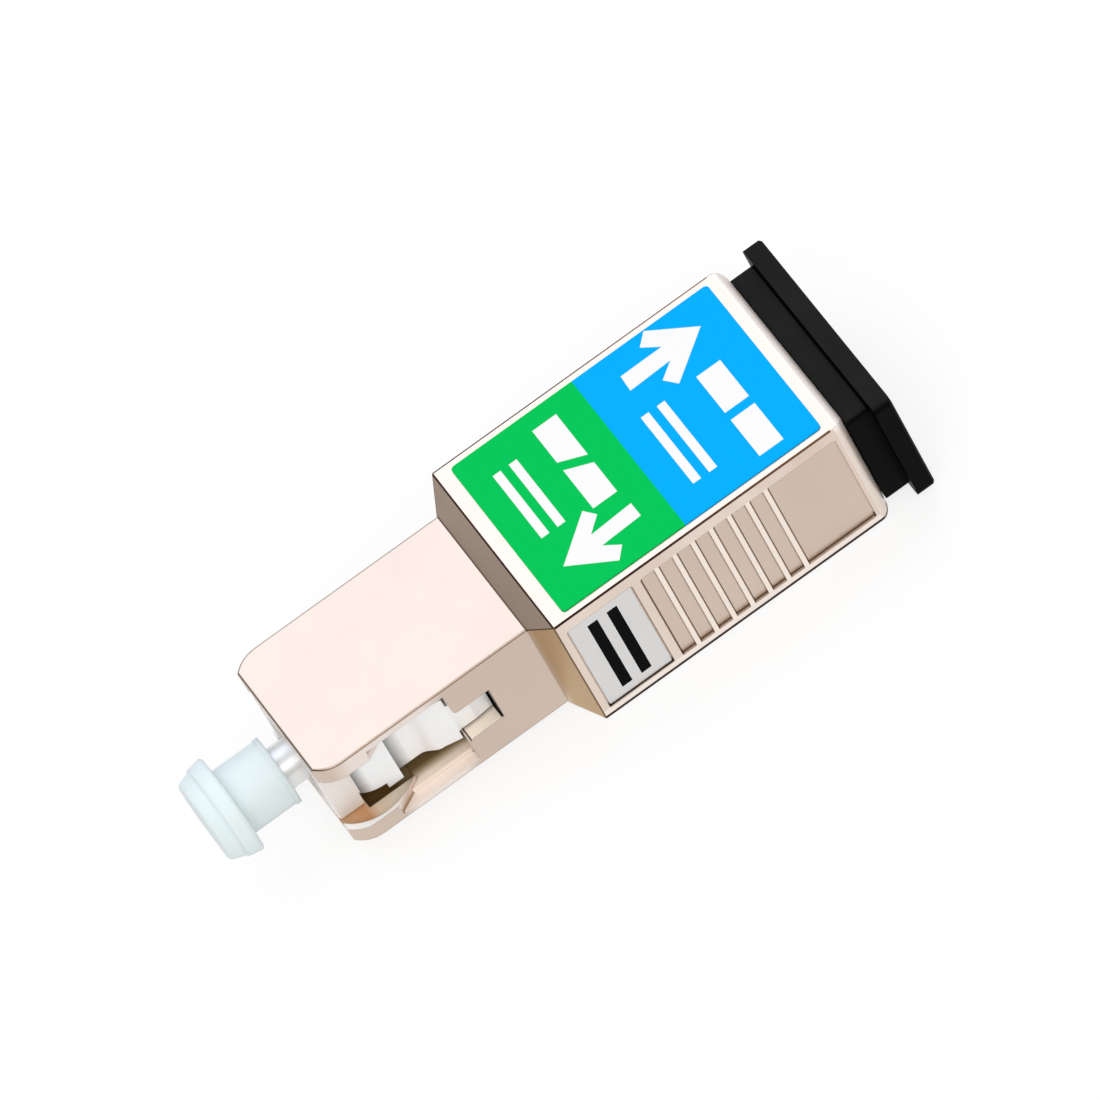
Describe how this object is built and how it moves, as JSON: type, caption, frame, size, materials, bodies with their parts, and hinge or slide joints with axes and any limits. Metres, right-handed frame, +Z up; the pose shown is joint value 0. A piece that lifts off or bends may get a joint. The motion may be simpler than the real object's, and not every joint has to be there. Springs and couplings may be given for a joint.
{
  "type": "fiber optic adapter",
  "caption": "Push-pull fibre adapter in a metal shell: a plug with a sprung ceramic ferrule at one end, a latching socket at the other, with a ferrule cap and a dust plug.",
  "frame": {"origin": "bottom centre of the part's bounding box, on the face that the body rests on, under the middle of the length", "axes": "+X along the optical axis from the plug to the socket, +Z up through the labelled face, +Y across the width"},
  "size_m": [0.0404, 0.013, 0.0093],
  "materials": {
    "champagne_metal": "satin",
    "silver_metal": "satin",
    "zirconia": "gloss",
    "flange_metal": "satin",
    "spring_steel": "satin",
    "carrier_plastic": "matte",
    "black_plastic": "satin",
    "cap_plastic": "satin",
    "label_film": "satin",
    "sticker_film": "satin"
  },
  "bodies": {
    "shell": {"outer_shell": "champagne_metal", "top_label": "label_film", "side_label": "sticker_film"},
    "core": {"plug_frame": "silver_metal", "spring_seat": "flange_metal", "sleeve_holder": "carrier_plastic", "split_sleeve": "zirconia", "latch_carrier": "carrier_plastic", "ferrule_spring": "spring_steel"},
    "ferrule_unit": {"ferrule": "zirconia", "ferrule_flange": "flange_metal"},
    "cap": {"ferrule_cap": "cap_plastic"},
    "plug_cover": {"dust_plug": "black_plastic"}
  },
  "joints": [
    {"name": "core_slide", "type": "slide", "parent": "shell", "child": "core", "axis": [-1, 0, 0], "range_m": [0, 0.0018]},
    {"name": "ferrule_float", "type": "slide", "parent": "core", "child": "ferrule_unit", "axis": [1, 0, 0], "range_m": [0, 0.0009], "stiffness_N_per_m": 2000, "springref_m": -0.004, "deforming": ["ferrule_spring"]},
    {"name": "cap_pull", "type": "slide", "parent": "ferrule_unit", "child": "cap", "axis": [-1, 0, 0], "range_m": [-0.0028, 0.045]},
    {"name": "dust_plug_pull", "type": "slide", "parent": "shell", "child": "plug_cover", "axis": [1, 0, 0], "range_m": [0, 0.045]}
  ]
}
